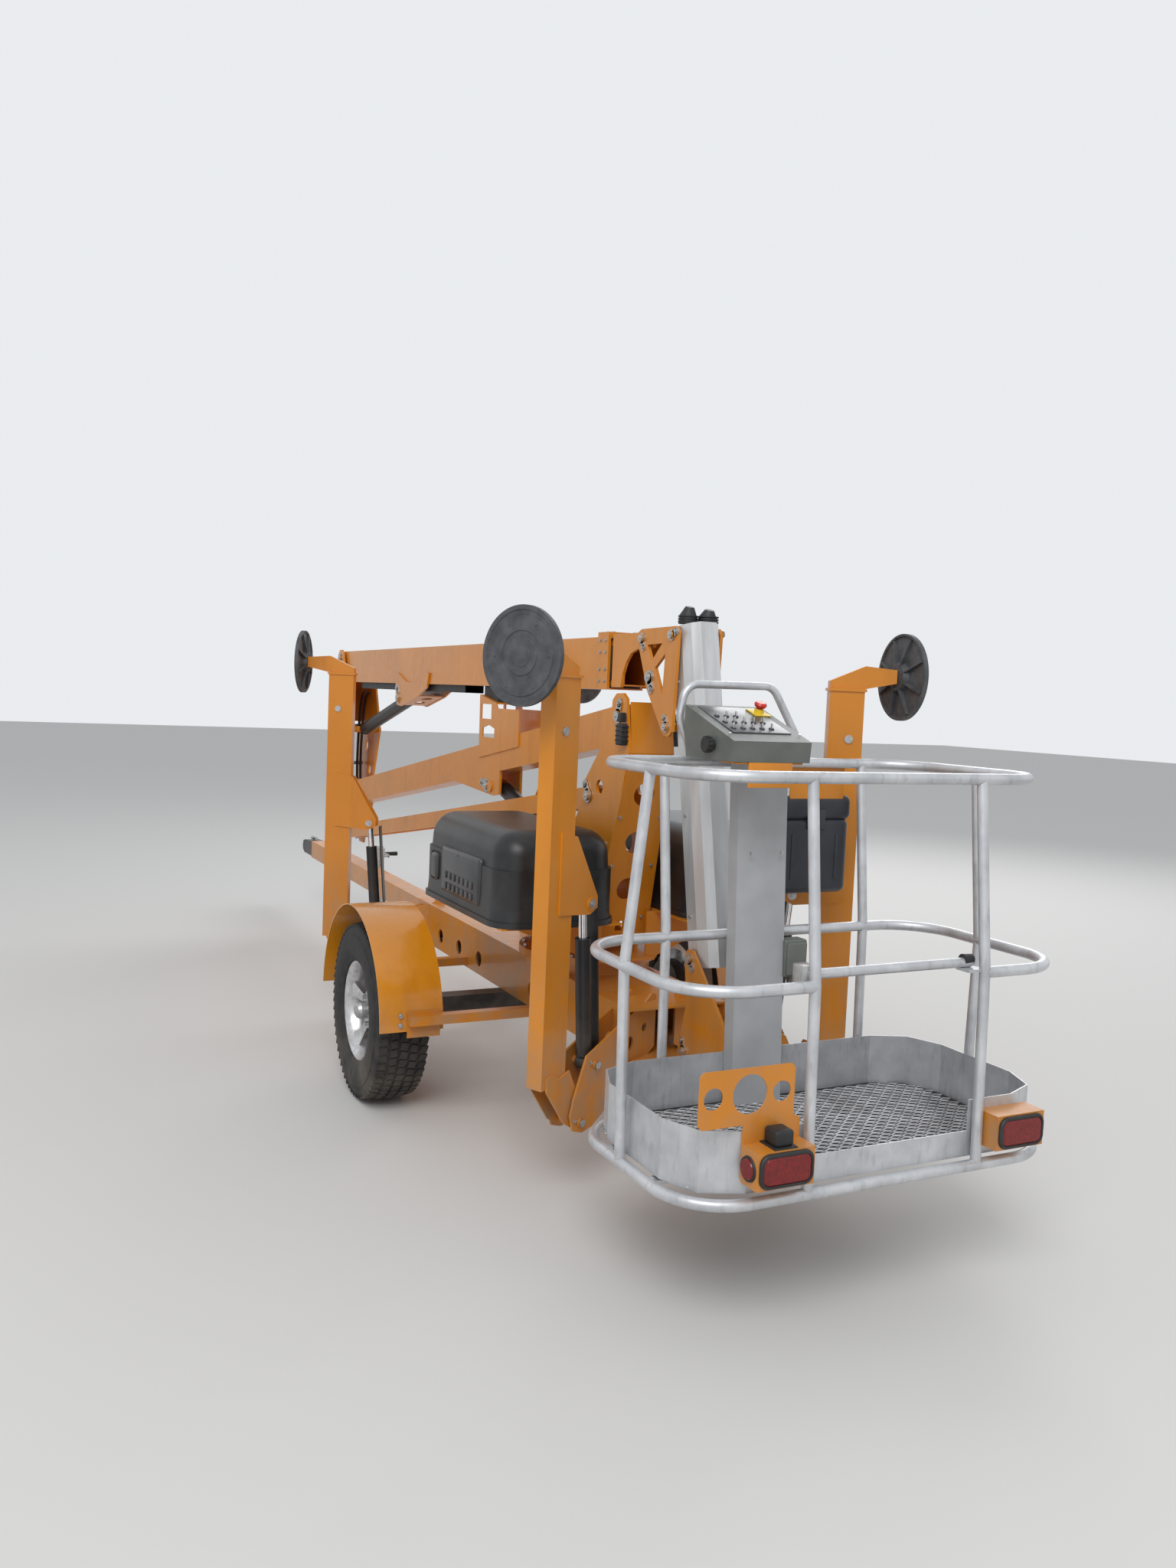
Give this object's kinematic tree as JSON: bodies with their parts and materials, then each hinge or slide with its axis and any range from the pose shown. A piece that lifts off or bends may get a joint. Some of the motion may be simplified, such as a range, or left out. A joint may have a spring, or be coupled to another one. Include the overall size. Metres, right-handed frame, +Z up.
{
  "type": "trailer mounted articulating boom lift",
  "caption": "Towable articulating boom lift: trailer frame with fold-down outriggers, turntable tower, riser parallelogram, telescoping boom, jib and a railed aluminium work platform.",
  "frame": {"origin": "middle of the machine's outline on the ground, under its centre line", "axes": "+Y ahead towards the tow hitch, +X to the machine's right, +Z up"},
  "size_m": [1.744, 6.7162, 1.943],
  "materials": {
    "alloy": "satin",
    "black_steel": "satin",
    "block_rubber": "matte",
    "boom_paint": "gloss",
    "cast_pad": "matte",
    "chrome_rod": "polished",
    "cover_plastic": "satin",
    "duct_plastic": "matte",
    "fender_paint": "gloss",
    "frame_paint": "gloss",
    "grey_plastic": "matte",
    "lamp_housing": "gloss",
    "raw_aluminium": "brushed",
    "tyre_rubber": "matte",
    "zinc": "satin"
  },
  "bodies": {
    "chassis": {"frame": "frame_paint", "coupler": "black_steel", "axle": "black_steel", "fender_left": "fender_paint", "fender_right": "fender_paint", "jack": "zinc"},
    "wheel_left": {"tyre_left": "tyre_rubber", "rim_left": "alloy"},
    "wheel_right": {"tyre_right": "tyre_rubber", "rim_right": "alloy"},
    "outrigger_rear_left": {"outrigger_leg_rear_left": "boom_paint", "outrigger_pad_rear_left": "cast_pad"},
    "leg_ram_rear_left": {"outrigger_cylinder_rear_left": "black_steel"},
    "leg_rod_rear_left": {"outrigger_rod_rear_left": "chrome_rod"},
    "outrigger_rear_right": {"outrigger_leg_rear_right": "boom_paint", "outrigger_pad_rear_right": "cast_pad"},
    "leg_ram_rear_right": {"outrigger_cylinder_rear_right": "black_steel"},
    "leg_rod_rear_right": {"outrigger_rod_rear_right": "chrome_rod"},
    "outrigger_front_left": {"outrigger_leg_front_left": "boom_paint", "outrigger_pad_front_left": "cast_pad"},
    "leg_ram_front_left": {"outrigger_cylinder_front_left": "black_steel"},
    "leg_rod_front_left": {"outrigger_rod_front_left": "chrome_rod"},
    "outrigger_front_right": {"outrigger_leg_front_right": "boom_paint", "outrigger_pad_front_right": "cast_pad"},
    "leg_ram_front_right": {"outrigger_cylinder_front_right": "black_steel"},
    "leg_rod_front_right": {"outrigger_rod_front_right": "chrome_rod"},
    "turret": {"turntable": "boom_paint", "tower": "boom_paint", "cover_left": "cover_plastic", "cover_right": "cover_plastic"},
    "riser": {"riser_arm": "boom_paint", "boom_cradle": "boom_paint", "boom_rest_pad": "block_rubber"},
    "riser_link": {"riser_link": "boom_paint"},
    "riser_ram": {"riser_cylinder": "black_steel"},
    "riser_ram_rod": {"riser_rod": "chrome_rod"},
    "upright": {"upright": "boom_paint"},
    "boom": {"boom_outer": "boom_paint", "boom_saddle": "boom_paint", "hose_duct": "duct_plastic"},
    "boom_ram": {"boom_cylinder": "black_steel"},
    "boom_ram_rod": {"boom_rod": "chrome_rod"},
    "fly": {"boom_inner": "boom_paint"},
    "knuckle": {"knuckle": "boom_paint"},
    "jib": {"jib": "raw_aluminium"},
    "jib_link": {"jib_link": "raw_aluminium"},
    "platform": {"platform_bracket": "boom_paint", "platform_floor": "raw_aluminium", "platform_tray": "raw_aluminium", "platform_rail_low": "raw_aluminium", "platform_rail_mid": "raw_aluminium", "platform_rail_top": "raw_aluminium", "platform_posts": "raw_aluminium", "control_post": "raw_aluminium", "control_box": "grey_plastic", "document_box": "cover_plastic", "tail_lamps": "lamp_housing", "plate_holder": "boom_paint"},
    "gate": {"gate_bar": "raw_aluminium"}
  },
  "joints": [
    {"name": "wheel_left_spin", "type": "hinge", "parent": "chassis", "child": "wheel_left", "pos_m": [-0.747, -1.08195, 0.36], "axis": [1, 0, 0], "continuous": true},
    {"name": "wheel_right_spin", "type": "hinge", "parent": "chassis", "child": "wheel_right", "pos_m": [0.747, -1.08195, 0.36], "axis": [1, 0, 0], "continuous": true},
    {"name": "outrigger_rear_left_fold", "type": "hinge", "parent": "chassis", "child": "outrigger_rear_left", "pos_m": [-0.43817, -2.26293, 0.26], "axis": [0.454, -0.891, 0], "range_deg": [0, 90]},
    {"name": "leg_ram_rear_left_swing", "type": "hinge", "parent": "chassis", "child": "leg_ram_rear_left", "pos_m": [-0.37134, -2.22888, 0.44], "axis": [0.454, -0.891, 0], "range_deg": [-1, 97.4]},
    {"name": "leg_rod_rear_left_slide", "type": "slide", "parent": "leg_ram_rear_left", "child": "leg_rod_rear_left", "axis": [-0.0727, -0.037, 0.9967], "range_m": [-0.002, 0.27]},
    {"name": "outrigger_rear_right_fold", "type": "hinge", "parent": "chassis", "child": "outrigger_rear_right", "pos_m": [0.45417, -2.26293, 0.26], "axis": [0.454, 0.891, 0], "range_deg": [0, 90]},
    {"name": "leg_ram_rear_right_swing", "type": "hinge", "parent": "chassis", "child": "leg_ram_rear_right", "pos_m": [0.38734, -2.22888, 0.44], "axis": [0.454, 0.891, 0], "range_deg": [-1, 97.4]},
    {"name": "leg_rod_rear_right_slide", "type": "slide", "parent": "leg_ram_rear_right", "child": "leg_rod_rear_right", "axis": [0.0727, -0.037, 0.9967], "range_m": [-0.002, 0.27]},
    {"name": "outrigger_front_left_fold", "type": "hinge", "parent": "chassis", "child": "outrigger_front_left", "pos_m": [-0.48417, 0.14303, 0.26], "axis": [-0.454, -0.891, 0], "range_deg": [0, 90]},
    {"name": "leg_ram_front_left_swing", "type": "hinge", "parent": "chassis", "child": "leg_ram_front_left", "pos_m": [-0.41734, 0.10898, 0.44], "axis": [-0.454, -0.891, 0], "range_deg": [-1, 97.4]},
    {"name": "leg_rod_front_left_slide", "type": "slide", "parent": "leg_ram_front_left", "child": "leg_rod_front_left", "axis": [-0.0727, 0.037, 0.9967], "range_m": [-0.002, 0.27]},
    {"name": "outrigger_front_right_fold", "type": "hinge", "parent": "chassis", "child": "outrigger_front_right", "pos_m": [0.48417, 0.14303, 0.26], "axis": [-0.454, 0.891, 0], "range_deg": [0, 90]},
    {"name": "leg_ram_front_right_swing", "type": "hinge", "parent": "chassis", "child": "leg_ram_front_right", "pos_m": [0.41734, 0.10898, 0.44], "axis": [-0.454, 0.891, 0], "range_deg": [-1, 97.4]},
    {"name": "leg_rod_front_right_slide", "type": "slide", "parent": "leg_ram_front_right", "child": "leg_rod_front_right", "axis": [0.0727, 0.037, 0.9967], "range_m": [-0.002, 0.27]},
    {"name": "slew", "type": "hinge", "parent": "chassis", "child": "turret", "pos_m": [0, -1.48195, 0.64], "axis": [0, 0, 1], "range_deg": [-6, 6]},
    {"name": "riser_lift", "type": "hinge", "parent": "turret", "child": "riser", "pos_m": [0, -1.84695, 1.605], "axis": [1, 0, 0], "range_deg": [0, 80]},
    {"name": "riser_link_swing", "type": "hinge", "parent": "turret", "child": "riser_link", "pos_m": [0, -1.62195, 1.29], "axis": [1, 0, 0], "range_deg": [-1, 81]},
    {"name": "riser_ram_swing", "type": "hinge", "parent": "turret", "child": "riser_ram", "pos_m": [0, -1.50195, 0.95], "axis": [1, 0, 0], "range_deg": [-1, 68.3]},
    {"name": "riser_rod_slide", "type": "slide", "parent": "riser_ram", "child": "riser_ram_rod", "axis": [0, 0.9636, 0.2675], "range_m": [-0.003, 0.8985]},
    {"name": "upright_level", "type": "hinge", "parent": "riser", "child": "upright", "pos_m": [0, 1.98528, 0.99803], "axis": [1, 0, 0], "range_deg": [-81, 1]},
    {"name": "boom_lift", "type": "hinge", "parent": "upright", "child": "boom", "pos_m": [0, 2.20328, 1.86], "axis": [-1, 0, 0], "range_deg": [0, 75]},
    {"name": "boom_ram_swing", "type": "hinge", "parent": "upright", "child": "boom_ram", "pos_m": [0, 1.91828, 1.398], "axis": [-1, 0, 0], "range_deg": [-1, 69.2]},
    {"name": "boom_rod_slide", "type": "slide", "parent": "boom_ram", "child": "boom_ram_rod", "axis": [0, -0.9753, 0.2207], "range_m": [-0.003, 0.6449]},
    {"name": "telescope", "type": "slide", "parent": "boom", "child": "fly", "axis": [0, -1, 0], "range_m": [0, 2.2]},
    {"name": "knuckle_level", "type": "hinge", "parent": "fly", "child": "knuckle", "pos_m": [0, -1.99495, 1.889], "axis": [-1, 0, 0], "range_deg": [-76, 1]},
    {"name": "jib_lift", "type": "hinge", "parent": "knuckle", "child": "jib", "pos_m": [0, -2.20395, 1.895], "axis": [-1, 0, 0], "range_deg": [0, 130]},
    {"name": "jib_link_swing", "type": "hinge", "parent": "knuckle", "child": "jib_link", "pos_m": [0, -2.19095, 1.579], "axis": [-1, 0, 0], "range_deg": [-1, 131]},
    {"name": "platform_level", "type": "hinge", "parent": "jib", "child": "platform", "pos_m": [0, -2.41384, 0.81521], "axis": [-1, 0, 0], "range_deg": [-131, 1]},
    {"name": "gate_lift", "type": "hinge", "parent": "platform", "child": "gate", "pos_m": [-0.235, -3.25395, 0.964], "axis": [0, -1, 0], "range_deg": [0, 50]}
  ],
  "couplings": [
    {"joint": "leg_ram_rear_left_swing", "follows": "outrigger_rear_left_fold", "ratio": 1.0653},
    {"joint": "leg_rod_rear_left_slide", "follows": "outrigger_rear_left_fold", "m_per_rad": 0.16999},
    {"joint": "leg_ram_rear_right_swing", "follows": "outrigger_rear_right_fold", "ratio": 1.0653},
    {"joint": "leg_rod_rear_right_slide", "follows": "outrigger_rear_right_fold", "m_per_rad": 0.16999},
    {"joint": "leg_ram_front_left_swing", "follows": "outrigger_front_left_fold", "ratio": 1.0653},
    {"joint": "leg_rod_front_left_slide", "follows": "outrigger_front_left_fold", "m_per_rad": 0.16999},
    {"joint": "leg_ram_front_right_swing", "follows": "outrigger_front_right_fold", "ratio": 1.0653},
    {"joint": "leg_rod_front_right_slide", "follows": "outrigger_front_right_fold", "m_per_rad": 0.16999},
    {"joint": "riser_link_swing", "follows": "riser_lift", "ratio": 1},
    {"joint": "riser_ram_swing", "follows": "riser_lift", "ratio": 0.8352},
    {"joint": "riser_rod_slide", "follows": "riser_lift", "m_per_rad": 0.63995},
    {"joint": "upright_level", "follows": "riser_lift", "ratio": -1},
    {"joint": "boom_ram_swing", "follows": "boom_lift", "ratio": 0.9025},
    {"joint": "boom_rod_slide", "follows": "boom_lift", "m_per_rad": 0.48886},
    {"joint": "knuckle_level", "follows": "boom_lift", "ratio": -1},
    {"joint": "jib_link_swing", "follows": "jib_lift", "ratio": 1},
    {"joint": "platform_level", "follows": "jib_lift", "ratio": -1}
  ]
}
